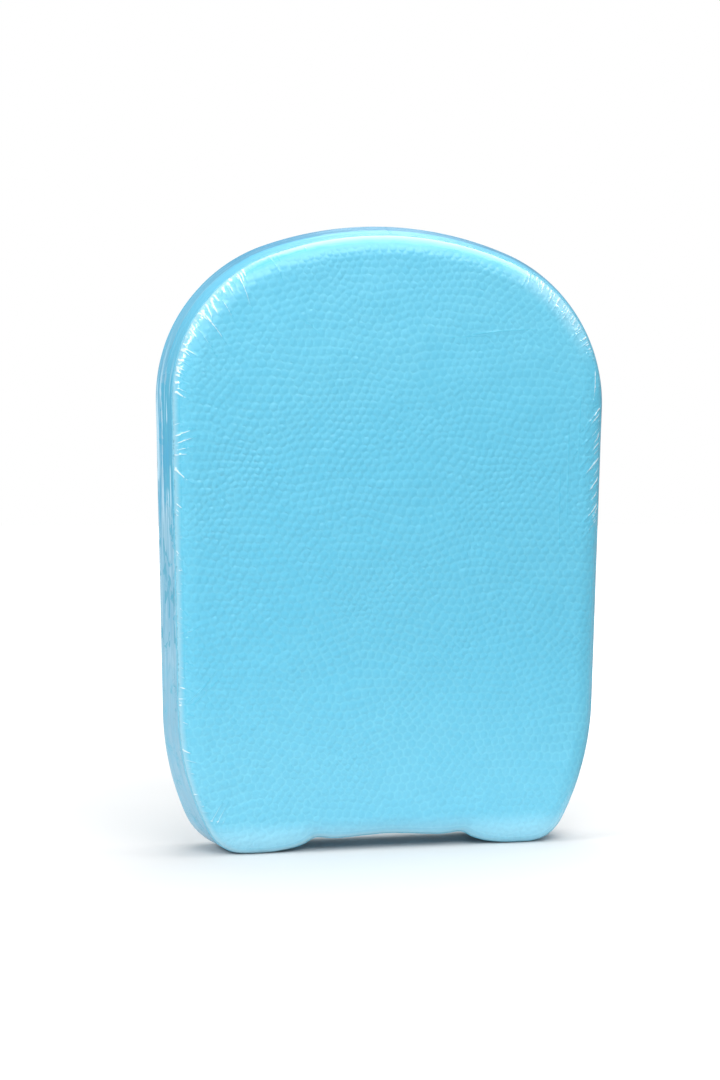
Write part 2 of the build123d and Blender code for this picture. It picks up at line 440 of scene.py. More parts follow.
# ---------------------------------------------------------------- film skins
SKIN_THICKNESS = 0.5
LINES_FROM = 0.7            # inset where the points along creases begin
EDGE_RINGS = (0.8, 1.7)     # insets of the rings of points beside the weld
BEADS_FROM = 2.3            # inset where the clusters for the beads begin
BEADS_X = 150.0             # rough limits, to drop far-off cell corners first
BEADS_Z = (0.0, 402.0)
CLUSTER_RINGS = ((0.55, 5), (0.86, 8))  # share of the bead's radius, and number of points
CLUSTER_TURN = 0.3
LINE_GAP = 0.40             # least gap between crease points and from them to others
BEAD_GAP = 0.30             # least gap between a cluster's points
TIGHT_FROM, TIGHT_BY = 0.8, 4.5  # insets between which the beads come to show
SLACK, SLACK_RANGE = 4.0, (250.0, 330.0)  # more of the same near the nose, and at which heights
INNER_INSETS = (3.5, 7.0, 10.5, 14.0)
INNER_GRID = 20.0           # gap of the inner side's grid, and the inset where it begins
INNER_X = (-130.0, 131.0)
INNER_Z = (26.0, 385.0)


def bead_mark(points):
    """How strongly the beads show: most half way up the board, and more to the left."""
    mark = 1.04 + 0.12 * smoothstep(40.0, 170.0, points[:, 1])
    mark = mark - 0.38 * smoothstep(240.0, 330.0, points[:, 1])
    return mark * (1.0 - 0.20 * points[:, 0] / 150.0)


def film_mesh(name, front, seed, zones, single_creases):
    """A closed film skin: a detailed outer side, a plain inner side and the edge between them."""
    rng = np.random.default_rng(seed)
    creases = weld_creases(rng, zones) + list(single_creases)

    # outer side: rings along the edge, points along creases, and a cluster for each bead
    lines = crease_points(creases)
    lines = lines[one_each(lines, LINE_GAP)]
    lines = lines[inside_outline(lines, outline(LINES_FROM, 0.0, 2.0))]
    rings = np.concatenate([outline(inset, 0.0, RIM_STEP) for inset in EDGE_RINGS])
    rings = rings[clear_of(rings, lines, LINE_GAP)]

    centres, corner, middle, radius = bead_cells(bead_centres(rng))
    clusters = [centres, middle, corner]
    for fraction, number in CLUSTER_RINGS:
        for k in range(number):
            turn = 2.0 * math.pi * (k + CLUSTER_TURN) / number
            way = np.array([math.cos(turn), math.sin(turn)])
            clusters.append(centres + (radius * fraction)[:, None] * way)
    beads = np.concatenate(clusters)
    beads = beads[
        (np.abs(beads[:, 0]) < BEADS_X) & (beads[:, 1] > BEADS_Z[0]) & (beads[:, 1] < BEADS_Z[1])
    ]
    shown = inside_outline(beads, outline(BEADS_FROM, 0.0, RIM_STEP))
    beads = beads[shown & clear_of(beads, lines, LINE_GAP)]
    beads = beads[one_each(beads, BEAD_GAP)]

    flat = np.concatenate([CREASE, rings, lines, beads])
    bead, share = bead_field(centres, flat)
    bead_size = rng.uniform(*BEAD_SIZES, len(centres))[bead]
    tones = rng.normal(0.0, 1.0, len(centres))[bead]
    dome = (1.0 - (1.0 - share) ** CUSHION_POWER) * bead_size * bead_mark(flat)
    loop = len(CREASE)
    depth = edge_depth(flat)
    depth[:loop] = 0.0
    # the film bridges the beads near the weld, and more so round the nose and shoulders
    slack = SLACK * smoothstep(*SLACK_RANGE, flat[:, 1])
    show = smoothstep(TIGHT_FROM + slack, TIGHT_BY + 1.6 * slack, depth)
    wrinkle = crease_height(creases, flat) * smoothstep(0.0, 0.9, depth)
    lift = BEAD_HEIGHT * show * (dome - 0.5) + wrinkle
    # the face isn't quite flat, and the slack film beside the weld is uneven
    lift += 0.12 * waves(flat, rng, 6, 30.0, 80.0) * smoothstep(4.0, 25.0, depth)
    lift += 0.10 * waves(flat, rng, 6, 9.0, 22.0) * smoothstep(0.0, 3.0, depth) * (1.0 - show)
    lift[:loop] = 0.0
    y = FACE_Y - roll_off(depth) + lift
    tris = fill(flat, loop)

    # inner side, plain
    inner_rings = np.concatenate([outline(inset, 0.0, 6.0) for inset in INNER_INSETS])
    gx, gz = np.meshgrid(np.arange(*INNER_X, INNER_GRID), np.arange(*INNER_Z, INNER_GRID))
    grid = np.stack([gx.ravel(), gz.ravel()], 1)
    grid = grid[inside_outline(grid, outline(INNER_GRID, 0.0, 3.0))]
    inner = np.concatenate([outline(SKIN_THICKNESS, 0.0, RIM_STEP), inner_rings, grid])
    inner_y = FACE_Y - SKIN_THICKNESS - roll_off(edge_depth(inner))
    inner_y[:loop] = RAIL_HALF_DEPTH
    inner_tris = fill(inner, loop)[:, ::-1] + len(flat)

    index = np.arange(loop)
    after = (index + 1) % loop
    bridge_a = np.stack([index, after, index + len(flat)], 1)
    bridge_b = np.stack([after, after + len(flat), index + len(flat)], 1)
    faces = np.concatenate([tris, inner_tris, bridge_a, bridge_b])
    side = -1.0 if front else 1.0
    points = np.concatenate([
        np.stack([flat[:, 0], side * y, flat[:, 1]], 1),
        np.stack([inner[:, 0], side * inner_y, inner[:, 1]], 1),
    ])
    if not front:
        faces = faces[:, ::-1]
    blank = np.zeros(len(inner))
    values = {
        "touch": np.concatenate([share * show + 0.45 * (1.0 - show), blank]),
        "tone": np.concatenate([tones, blank]),
        "inset": np.concatenate([depth, blank]),
        "wrinkle": np.concatenate([wrinkle, blank]),
    }
    return make_object(name, points * MM, faces, values)


def make_object(name, points, faces, values):
    """A smooth mesh object from points in metres, with named values at each point."""
    mesh = bpy.data.meshes.new(name)
    mesh.from_pydata(points.tolist(), [], faces.tolist())
    mesh.polygons.foreach_set("use_smooth", np.ones(len(mesh.polygons), bool))
    for key, value in values.items():
        layer = mesh.attributes.new(key, "FLOAT", "POINT")
        layer.data.foreach_set("value", np.ascontiguousarray(value, np.float32))
    mesh.update()
    piece = bpy.data.objects.new(name, mesh)
    bpy.context.scene.collection.objects.link(piece)
    return piece


# ---------------------------------------------------------------- film round the rail
RAIL_STEP = 2.0
RAIL_ROWS = 64
RAIL_EDGE_GAP = 0.05        # keeps the strip's edges off the films
FOLD_COUNT = 26
FOLD_WIDTHS = (0.018, 0.045)  # share of the half width
FOLD_HEIGHTS = (0.08, 0.26)
LAP_HEIGHT = 0.12
LAP_SOFTNESS = 0.02


def rail_mesh(seed):
    """The rail strip: a closed thin band with folds that run along it and a lapped edge."""
    rng = np.random.default_rng(seed)
    rows = RAIL_ROWS
    base = outline(0.0, 0.0, RAIL_STEP)
    swell = outline(0.0, RAIL_FLARE, RAIL_STEP)
    count = len(base)
    run = np.concatenate([[0.0], np.cumsum(np.linalg.norm(np.diff(base, axis=0), axis=1))])
    around = run / (run[-1] + RAIL_STEP)
    across = np.linspace(-1.0, 1.0, rows)
    normals = outward(swell)
    share = 1.0 - np.abs(across)
    ring = np.stack([around] * rows, 1)
    wide = np.stack([across] * count, 0)

    # long folds: each one keeps near its own place across the rail and comes and goes along it
    fold = np.zeros((count, rows))
    for _ in range(FOLD_COUNT):
        home = rng.uniform(-0.95, 0.95)
        width = rng.uniform(*FOLD_WIDTHS)
        height = rng.uniform(*FOLD_HEIGHTS)
        drift = sum(
            rng.uniform(0.01, 0.04)
            * np.sin(2 * math.pi * (rng.integers(2, 9) * around + rng.uniform()))
            for _ in range(3)
        )
        gate = sum(
            np.sin(2 * math.pi * (rng.integers(1, 7) * around + rng.uniform()))
            for _ in range(3)
        )
        gate = smoothstep(-0.3, 1.4, gate)
        away = (wide - home - drift[:, None]) / width
        fold += height * gate[:, None] * np.exp(-away ** 2)
    # fewer folds over the nose, where the film is pulled smooth
    nose = np.cos(2 * math.pi * around)
    calm = 1.0 - 0.75 * smoothstep(0.62, 0.9, nose)
    fold *= calm[:, None]
    fold *= smoothstep(0.0, 0.10, 1.0 - np.abs(wide))

    # the strip's lapped edge: a low step that runs all the way round on each half
    lap_place = 0.40 + 0.025 * np.sin(2 * math.pi * (3 * around + 0.2))
    lap_place = lap_place + 0.012 * np.sin(2 * math.pi * 11 * around)
    past_lap = (1.0 - np.abs(wide)) - lap_place[:, None] * 0.9
    lap = LAP_HEIGHT * smoothstep(-LAP_SOFTNESS, LAP_SOFTNESS, past_lap)
    # no folds or lap where the strip is pressed on the floor
    rise = (fold + lap) * smoothstep(0.0, 4.0, base[:, 1])[:, None]
    flat = base[:, None, :] + (swell - base)[:, None, :] * share[None, :, None]
    outer = flat + normals[:, None, :] * rise[:, :, None]
    inner = flat - normals[:, None, :] * SKIN_THICKNESS
    y = np.stack([across * (RAIL_HALF_DEPTH - RAIL_EDGE_GAP)] * count, 0)
    shell = [np.stack([part[..., 0], y, part[..., 1]], 2).reshape(-1, 3) for part in (outer, inner)]
    points = np.concatenate(shell)

    i, j = np.meshgrid(np.arange(count), np.arange(rows - 1), indexing="ij")
    a = (i * rows + j).ravel()
    b = (((i + 1) % count) * rows + j).ravel()
    quads = np.stack([a, a + 1, b + 1, b], 1)
    half = count * rows
    lids = []
    for row, flip in ((0, False), (rows - 1, True)):
        p = np.arange(count) * rows + row
        q = (np.arange(count) + 1) % count * rows + row
        lid = np.stack([p, q, q + half, p + half], 1)
        lids.append(lid[:, ::-1] if flip else lid)
    faces = np.concatenate([quads, quads[:, ::-1] + half] + lids)
    values = {
        "across": np.concatenate([wide.ravel(), wide.ravel()]),
        "place": np.concatenate([ring.ravel(), ring.ravel()]),
    }
    return make_object("rail_band_film", points * MM, faces, values)


# ---------------------------------------------------------------- weld lines and splice tape
SEAL_RADIUS = 0.46
SEAL_INSET = 0.25
SEAL_STEP = 1.6
SEAL_SIDES = 10
SEAL_PRESSED = 0.35         # share of its thickness left under the feet


def seal_mesh(name, y_side, seed):
    """Weld bead along a crease: a thin round cord that thickens and thins a little."""
    rng = np.random.default_rng(seed)
    path = outline(SEAL_INSET, 0.0, SEAL_STEP)
    count, sides = len(path), SEAL_SIDES
    normals = outward(path)
    around = np.arange(count) / count
    swell = sum(
        rng.uniform(0.03, 0.07)
        * np.sin(2 * math.pi * (rng.integers(20, 160) * around + rng.uniform()))
        for _ in range(6)
    )
    radius = SEAL_RADIUS * (1.0 + swell)
    # pressed flat under the feet
    radius *= SEAL_PRESSED + (1.0 - SEAL_PRESSED) * smoothstep(0.6, 4.0, path[:, 1])
    turn = 2 * math.pi * np.arange(sides) / sides
    out = np.cos(turn)[None, :, None] * normals[:, None, :] * radius[:, None, None]
    place = path[:, None, :] + out
    y = y_side * RAIL_HALF_DEPTH + np.sin(turn)[None, :] * radius[:, None]
    points = np.stack([place[..., 0], y, np.maximum(place[..., 1], 0.0)], 2).reshape(-1, 3)
    i, j = np.meshgrid(np.arange(count), np.arange(sides), indexing="ij")
    a = (i * sides + j).ravel()
    b = (i * sides + (j + 1) % sides).ravel()
    c = ((i + 1) % count * sides + (j + 1) % sides).ravel()
    d = ((i + 1) % count * sides + j).ravel()
    faces = np.stack([a, d, c, b], 1)
    return make_object(name, points * MM, faces, {})


TAPE_THICKNESS = 0.4 * MM
TAPE_SUNK = 0.2 * MM        # how far the tape reaches into the strip above it
TAPE_RIPPLE = 0.12 * MM
TAPE_CUT = 0.2 * MM         # how far the cut ends wave in and out
TAPE_END = 10.0 * MM        # points further out than this belong to the cut ends
TAPE_CELLS = (30, 36)


def splice_mesh(seed):
    """Tape over the ends of the rail strip, rippled, with slightly wavy cut ends."""
    rng = np.random.default_rng(seed)
    low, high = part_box("band_splice")
    nx, ny = TAPE_CELLS
    x = np.linspace(low.x, high.x, nx)[:, None] * np.ones(ny)[None]
    y = np.linspace(low.y, high.y, ny)[None] * np.ones(nx)[:, None]
    ripple = TAPE_RIPPLE * np.sin(y / 0.0021 + 2.0 * np.sin(x / 0.004)) * rng.uniform(0.9, 1.1)
    x = x + TAPE_CUT * np.sin(y / 0.0013) * np.sign(x) * (np.abs(x) > TAPE_END)
    profile = outline(0.0, 0.0, 0.25)
    lower = profile[profile[:, 1] < 12.0]
    lower = lower[np.argsort(lower[:, 0])]
    # the recess's roof above each point
    roof = np.interp(x.ravel() / MM, lower[:, 0], lower[:, 1]).reshape(x.shape) * MM
    under = roof - TAPE_THICKNESS - 0.5 * np.abs(ripple)
    top = roof + TAPE_SUNK
    points = np.concatenate([
        np.stack([x, y, under], 2).reshape(-1, 3),
        np.stack([x, y, top], 2).reshape(-1, 3),
    ])
    i, j = np.meshgrid(np.arange(nx - 1), np.arange(ny - 1), indexing="ij")
    a = (i * ny + j).ravel()
    quads = np.stack([a, a + 1, a + ny + 1, a + ny], 1)
    half = nx * ny
    loop = np.array(
        list(range(ny))
        + [k * ny + ny - 1 for k in range(1, nx)]
        + [(nx - 1) * ny + k for k in range(ny - 2, -1, -1)]
        + [k * ny for k in range(nx - 2, 0, -1)]
    )
    after = np.roll(loop, -1)
    rim = np.stack([after, loop, loop + half, after + half], 1)
    faces = np.concatenate([quads, quads[:, ::-1] + half, rim])
    return make_object("band_splice_tape", points, faces, {})


# ---------------------------------------------------------------- materials
class Nodes:
    """Builds the node tree of a material or of the world."""

    def __init__(self, owner, shader="Principled BSDF"):
        owner.use_nodes = True
        self.owner = owner
        self.tree = owner.node_tree
        self.shader = self.tree.nodes[shader]

    def add(self, kind, inputs=None, **settings):
        node = self.tree.nodes.new(kind)
        for key, value in settings.items():
            setattr(node, key, value)
        for key, value in (inputs or {}).items():
            if isinstance(value, bpy.types.NodeSocket):
                self.tree.links.new(value, node.inputs[key])
            else:
                node.inputs[key].default_value = value
        return node

    def attribute(self, name):
        return self.add("ShaderNodeAttribute", attribute_name=name).outputs["Fac"]

    def place(self):
        return self.add("ShaderNodeTexCoord").outputs["Object"]

    def axis(self, name):
        return self.add("ShaderNodeSeparateXYZ", {"Vector": self.place()}).outputs[name]

    def math(self, operation, a, b=0.0):
        return self.add("ShaderNodeMath", {0: a, 1: b}, operation=operation).outputs[0]

    def plus(self, a, b):
        return self.math("ADD", a, b)

    def minus(self, a, b):
        return self.math("SUBTRACT", a, b)

    def times(self, a, b):
        return self.math("MULTIPLY", a, b)

    def noise(self, scale, detail=3.0, vector=None, distortion=0.0):
        inputs = {"Scale": scale, "Detail": detail, "Distortion": distortion}
        inputs["Vector"] = vector if vector is not None else self.place()
        return self.add("ShaderNodeTexNoise", inputs).outputs["Fac"]

    def span(self, value, from_low, from_high, to_low=0.0, to_high=1.0, kind="SMOOTHSTEP"):
        """The value carried from one range to another, held at both ends."""
        inputs = {
            "Value": value, "From Min": from_low, "From Max": from_high,
            "To Min": to_low, "To Max": to_high,
        }
        node = self.add("ShaderNodeMapRange", inputs, interpolation_type=kind)
        return node.outputs["Result"]

    def blend(self, amount, low, high):
        """A colour between low, where the amount is 0, and high, where it is 1."""
        node = self.add("ShaderNodeMix", data_type="RGBA")
        for key, value in (("Factor", amount), ("A", low), ("B", high)):
            socket = [s for s in node.inputs if s.name == key and s.enabled][0]
            if isinstance(value, bpy.types.NodeSocket):
                self.tree.links.new(value, socket)
            else:
                socket.default_value = value
        return [s for s in node.outputs if s.enabled][0]

    def bump(self, height, strength, distance, normal=None):
        inputs = {"Height": height, "Strength": strength, "Distance": distance}
        if normal is not None:
            inputs["Normal"] = normal
        return self.add("ShaderNodeBump", inputs).outputs["Normal"]

    def link(self, value, socket):
        self.tree.links.new(value, self.shader.inputs[socket])

    def set(self, **values):
        for key, value in values.items():
            self.shader.inputs[key.replace("_", " ")].default_value = value


def rgb(red, green, blue):
    """Linear colour from an sRGB triple of 0 to 255."""
    out = []
    for value in (red, green, blue):
        c = value / 255.0
        out.append(c / 12.92 if c <= 0.04045 else ((c + 0.055) / 1.055) ** 2.4)
    return (*out, 1.0)


def grey(value):
    """Linear grey."""
    return (value, value, value, 1.0)


# painted highlight, a soft white sheen round the shoulders beside the weld: x in m, and strength
PAINTED_SHOULDER_SHEEN = ((0.104, 0.45), (-0.118, 0.16))
SHEEN_Y, SHEEN_Z = -0.025, 0.350
SHEEN_REACH, SHEEN_CORE = 0.048, 0.008


def film_material(name):
    """Film shrunk over beads. Heights and sideways places are in m, insets in mm."""
    n = Nodes(bpy.data.materials.new(name))
    touch = n.attribute("touch")
    inset = n.attribute("inset")
    height = n.axis("Z")
    # a bead under tight film is deeper in colour, and more clearly so low on the board
    low = n.span(height, 0.34, 0.06, 0.60, 0.70)
    contact = n.times(n.span(touch, 0.02, 0.28), low)
    skin = n.blend(contact, rgb(117, 205, 230), rgb(97, 189, 219))
    skin = n.blend(n.span(n.noise(9.0, 2.0), 0.35, 0.65, 0.0, 0.30), skin, rgb(102, 200, 232))
    skin = n.blend(n.span(n.attribute("tone"), -2.0, 2.0, 0.0, 0.22), skin, rgb(86, 185, 218))
    # the middle of the board is a little deeper in colour; the tail end and the bottom edge are
    # painted paler, a painted light standing in for light thrown up from the floor
    half_way = n.times(n.span(height, 0.36, 0.25), n.span(height, 0.05, 0.17, 0.0, 0.30))
    skin = n.blend(half_way, skin, rgb(82, 182, 214))
    # painted light: paler towards the tail and palest along the bottom edge, as if lit from the
    # floor below
    skin = n.blend(n.span(height, 0.13, 0.0, 0.0, 0.15), skin, rgb(146, 220, 242))
    skin = n.blend(n.span(height, 0.024, 0.008, 0.0, 0.50), skin, rgb(176, 230, 248))
    # where the film is lifted along the weld it is milky; the strip is also a painted reflection of
    # the bright studio on the left, so it is painted stronger on the left and weaker on the shaded
    # right
    left_reflection_weight = n.span(n.axis("X"), 0.12, -0.06, 0.05, 0.42)
    skin = n.blend(n.times(n.span(inset, 4.2, 0.5), left_reflection_weight), skin, rgb(190, 216, 226))
    # painted highlight: a soft white sheen painted round each shoulder, fading in from the weld
    for x, strength in PAINTED_SHOULDER_SHEEN:
        ends = {0: n.place(), 1: (x, SHEEN_Y, SHEEN_Z)}
        gap = n.add("ShaderNodeVectorMath", ends, operation="DISTANCE").outputs["Value"]
        near = n.span(gap, SHEEN_REACH, SHEEN_CORE, 0.0, strength)
        painted_sheen = n.times(near, n.span(inset, 17.0, 3.0))
        skin = n.blend(painted_sheen, skin, rgb(188, 222, 236))
    # painted highlight: the top of each fold is painted near-white
    skin = n.blend(n.span(n.attribute("wrinkle"), 0.10, 0.34, 0.0, 0.80), skin, rgb(228, 244, 250))
    n.link(skin, "Base Color")
    # glossier on the creases and beside the weld, where nothing presses through it
    rough = n.span(n.noise(60.0, 3.0), 0.3, 0.7, 0.32, 0.44)
    pulled = n.span(n.math("ABSOLUTE", n.attribute("wrinkle")), 0.01, 0.05)
    smooth = n.math("MAXIMUM", pulled, n.span(inset, 6.0, 2.5))
    n.link(n.blend(smooth, rough, grey(0.12)), "Roughness")
    n.link(n.bump(n.noise(700.0, 2.0), 0.10, 0.0002), "Normal")
    n.set(IOR=1.5, Coat_Weight=0.18, Coat_Roughness=0.08, Coat_IOR=1.5)
    return n.owner


def rail_material():
    """Film round the rail. Heights are in m, and across runs from -1 to 1 over the strip."""
    n = Nodes(bpy.data.materials.new("rail_film"))
    across = n.attribute("across")
    span = n.math("ABSOLUTE", across)
    height = n.axis("Z")
    along = n.times(n.attribute("place"), 60.0)

    def strand(across_scale, along_scale, scale, detail, distortion=0.0):
        """Noise in the strip's own coordinates, so that it runs along the rail."""
        vector = n.add("ShaderNodeCombineXYZ", {
            "X": n.times(across, across_scale), "Y": n.times(along, along_scale),
        }).outputs[0]
        return n.noise(scale, detail, vector, distortion)

    # three zones by height, each 1 inside and 0 outside
    nose = n.span(height, 0.275, 0.335)
    half_way = n.times(n.span(height, 0.235, 0.20), n.span(height, 0.105, 0.135))
    low = n.span(height, 0.150, 0.105)

    # nearer the middle of the rail than this line the film stands off the foam and looks pale;
    # beyond it the film lies on the blue foam
    edge = n.plus(n.plus(0.42, n.times(nose, 0.20)), n.times(low, 0.80))
    edge = n.plus(edge, n.times(half_way, 0.50))
    edge = n.minus(edge, n.times(n.span(height, 0.22, 0.26), 0.14))
    jagged = n.minus(strand(1.0, 1.0, 2.2, 5.0, 0.8), 0.5)
    ragged = n.minus(1.0, n.times(nose, 0.93))
    edge = n.plus(edge, n.times(jagged, n.times(ragged, 1.7)))
    pale = n.span(n.minus(span, edge), 0.03, -0.03)
    # painted shade: the rail is painted darker towards the top of the nose
    nose_painted_shade = n.blend(n.span(height, 0.34, 0.395), rgb(104, 170, 198), rgb(66, 134, 166))
    standing_off = n.blend(nose, rgb(132, 184, 208), nose_painted_shade)
    body = n.blend(pale, rgb(88, 172, 202), standing_off)

    # fine strands along the rail
    strands = strand(2.0, 0.10, 4.0, 2.0)
    weight = n.minus(1.0, n.math("MAXIMUM", n.times(nose, 0.85), n.times(low, 0.9)))
    weight = n.times(weight, n.minus(1.0, n.times(half_way, 0.65)))
    deep_strands = n.times(weight, n.span(strands, 0.52, 0.58, 0.0, 0.80))
    pale_strands = n.times(weight, n.span(strands, 0.46, 0.41, 0.0, 0.80))
    body = n.blend(deep_strands, body, rgb(80, 166, 204))
    body = n.blend(pale_strands, body, rgb(182, 220, 238))
    # darker torn-looking streaks where the film touches the foam, half way down the side
    torn = n.span(strand(1.5, 0.45, 2.6, 5.0, 1.0), 0.56, 0.60)
    body = n.blend(n.times(half_way, n.times(torn, 0.80)), body, rgb(80, 164, 192))
    # bluer strip beside the weld round the nose
    beside = n.times(nose, n.span(span, 0.58, 0.66))
    body = n.blend(n.times(beside, 0.8), body, rgb(96, 178, 208))
    # low on the board thin winding marks where the film touches the foam, and broader patches
    winding = n.math("ABSOLUTE", n.minus(strand(1.3, 1.0, 3.2, 4.0, 1.4), 0.5))
    patchy = n.span(strand(1.0, 0.8, 1.6, 2.0), 0.50, 0.60)
    marks = n.times(n.times(low, patchy), n.span(winding, 0.035, 0.010))
    body = n.blend(n.times(marks, 0.8), body, rgb(78, 168, 194))
    patches = n.span(strand(1.0, 0.5, 2.4, 3.0), 0.45, 0.65, 0.0, 0.35)
    body = n.blend(n.times(low, patches), body, rgb(112, 186, 214))
    n.link(body, "Base Color")

    rough = n.span(n.noise(45.0, 3.0), 0.3, 0.7, 0.12, 0.24)
    n.link(n.plus(rough, n.times(nose, 0.18)), "Roughness")
    normal = n.bump(strands, 0.35, 0.0008)
    n.link(n.bump(n.noise(500.0, 2.0), 0.10, 0.0002, normal), "Normal")
    n.set(IOR=1.42, Coat_Weight=0.06, Coat_Roughness=0.10, Coat_IOR=1.45)
    return n.owner


def weld_material():
    n = Nodes(bpy.data.materials.new("weld_bead"))
    mottle = n.noise(180.0, 3.0)
    n.link(n.blend(mottle, rgb(96, 182, 210), rgb(124, 202, 226)), "Base Color")
    n.link(n.span(mottle, 0.3, 0.7, 0.20, 0.38), "Roughness")
    n.link(n.bump(n.noise(900.0, 2.0), 0.2, 0.0002), "Normal")
    n.set(IOR=1.48, Coat_Weight=0.3, Coat_Roughness=0.1)
    return n.owner


def tape_material():
    n = Nodes(bpy.data.materials.new("splice_tape"))
    drawn_out = n.add("ShaderNodeMapping", {"Vector": n.place(), "Scale": (1.0, 0.15, 1.0)})
    grain = n.noise(240.0, 3.0, drawn_out.outputs["Vector"])
    n.link(n.blend(grain, rgb(96, 160, 188), rgb(110, 174, 200)), "Base Color")
    n.link(n.span(grain, 0.3, 0.7, 0.25, 0.4), "Roughness")
    n.link(n.bump(grain, 0.2, 0.0003), "Normal")
    n.set(IOR=1.48)
    return n.owner


def foam_material():
    n = Nodes(bpy.data.materials.new("bead_foam"))
    cells = {"Vector": n.place(), "Scale": 200.0}
    edge = n.add("ShaderNodeTexVoronoi", cells, feature="DISTANCE_TO_EDGE").outputs["Distance"]
    cell = n.add("ShaderNodeTexVoronoi", cells).outputs["Color"]
    body = n.blend(n.span(edge, 0.0, 0.12), rgb(150, 212, 230), rgb(172, 228, 242))
    n.link(n.blend(0.08, body, cell), "Base Color")
    n.link(n.span(edge, 0.0, 0.2, 0.75, 0.55), "Roughness")
    n.link(n.bump(edge, 0.5, 0.0006), "Normal")
    n.set(IOR=1.5)
    return n.owner


# ---------------------------------------------------------------- the pieces
# zones for weld_creases: as seen from the deck side, down the right, round the tail, up the left
DECK_ZONES = (
    (92.0, 168.0, 70, 5.0, 19.0, 0.12, 0.09, 0.52, 0.34),
    (168.0, 205.0, 10, 4.0, 14.0, 0.60, 0.20, 0.50, 0.20),
    (200.0, 275.0, 50, 8.0, 26.0, 1.10, 0.07, 0.55, 0.32),
    (270.0, 420.0, 20, 2.0, 9.0, 0.50, 0.40, 0.60, 0.12),
    (700.0, 745.0, 14, 5.0, 16.0, -0.50, 0.25, 0.60, 0.20),
    (745.0, 850.0, 36, 2.0, 13.0, -0.30, 0.30, 0.52, 0.34),
    (850.0, 960.0, 34, 2.0, 9.0, -0.60, 0.40, 0.52, 0.30),
    (960.0, 1012.0, 26, 2.0, 8.0, 0.25, 0.15, 0.52, 0.26),
    (1012.0, 1108.0, 74, 2.5, 15.0, -0.42, 0.16, 0.80, 0.44),
    (1108.0, 1150.0, 14, 2.0, 9.0, -0.30, 0.30, 0.60, 0.20),
)
HULL_ZONES = (
    (80.0, 190.0, 48, 3.0, 22.0, 0.30, 0.30, 0.80, 0.45),
    (190.0, 430.0, 52, 2.0, 12.0, 0.10, 0.50, 0.60, 0.24),
    (480.0, 540.0, 14, 2.0, 10.0, 0.30, 0.30, 0.60, 0.16),
    (670.0, 740.0, 14, 2.0, 10.0, -0.30, 0.30, 0.60, 0.16),
    (780.0, 1010.0, 52, 2.0, 12.0, -0.10, 0.50, 0.60, 0.24),
    (1010.0, 1130.0, 48, 3.0, 22.0, -0.30, 0.30, 0.80, 0.45),
)
# longer creases that stand alone: x and z of both ends, width, height, bow; down the left side,
# the left tail corner, the left shoulder, across the top, and down the right side
DECK_CREASES = (
    (-141.0, 266.0, -127.0, 271.0, 0.50, 0.40, 0.02),
    (-141.0, 261.0, -127.0, 266.0, 0.50, 0.40, 0.02),
    (-141.0, 257.0, -127.0, 260.0, 0.46, 0.30, 0.00),
    (-142.0, 254.0, -130.0, 255.0, 0.50, 0.36, 0.00),
    (-143.0, 249.0, -127.0, 234.0, 0.52, 0.38, -0.08),
    (-143.0, 247.0, -130.0, 238.0, 0.46, 0.30, -0.08),
    (-143.0, 223.0, -136.0, 215.0, 0.46, 0.30, 0.00),
    (-141.0, 224.0, -134.0, 218.0, 0.46, 0.30, 0.00),
    (-143.0, 198.0, -134.0, 186.0, 0.50, 0.36, 0.00),
    (-142.0, 195.0, -137.0, 188.0, 0.46, 0.30, 0.00),
    (-139.0, 142.0, -124.0, 149.0, 0.50, 0.20, -0.10),
    (-139.0, 138.0, -128.0, 141.0, 0.50, 0.18, 0.00),
    (-139.0, 108.0, -128.0, 104.0, 0.50, 0.18, 0.08),
    (-139.0, 96.0, -126.0, 97.0, 0.50, 0.18, 0.08),
    (-134.0, 98.0, -112.0, 124.0, 0.60, 0.17, -0.04),
    (-130.0, 98.0, -110.0, 119.0, 0.55, 0.15, -0.04),
    (-118.0, 22.0, -107.0, 42.0, 0.70, 0.22, 0.02),
    (-115.0, 20.0, -105.0, 39.0, 0.70, 0.22, 0.02),
    (-112.0, 19.0, -103.0, 36.0, 0.60, 0.18, 0.02),
    (-106.0, 6.0, -97.0, 15.0, 0.60, 0.18, 0.00),
    (-103.0, 370.0, -92.0, 338.0, 0.50, 0.32, 0.02),
    (-113.0, 352.0, -103.0, 334.0, 0.50, 0.28, 0.02),
    (-122.0, 340.0, -106.0, 318.0, 0.50, 0.30, 0.02),
    (-129.0, 335.0, -112.0, 308.0, 0.45, 0.22, 0.02),
    (-86.0, 385.0, -72.0, 358.0, 0.50, 0.16, 0.05),
    (50.0, 333.0, 112.0, 337.0, 0.60, 0.12, 0.03),
    (35.0, 331.0, 70.0, 333.0, 0.50, 0.10, 0.00),
    (-61.0, 340.0, -48.0, 330.0, 0.50, 0.16, 0.00),
    (137.0, 313.0, 134.0, 284.0, 0.52, 0.38, 0.02),
    (126.0, 300.0, 124.0, 235.0, 0.60, 0.10, 0.00),
    (118.0, 280.0, 117.0, 190.0, 0.60, 0.08, 0.00),
    (112.0, 250.0, 112.0, 150.0, 0.60, 0.07, 0.00),
)

deck = film_mesh("deck_film_skin", True, 11, DECK_ZONES, DECK_CREASES)
hull = film_mesh("hull_film_skin", False, 23, HULL_ZONES, ())
rail = rail_mesh(5)
deck_seal = seal_mesh("deck_seal_cord", -1.0, 7)
hull_seal = seal_mesh("hull_seal_cord", 1.0, 8)
tape = splice_mesh(3)

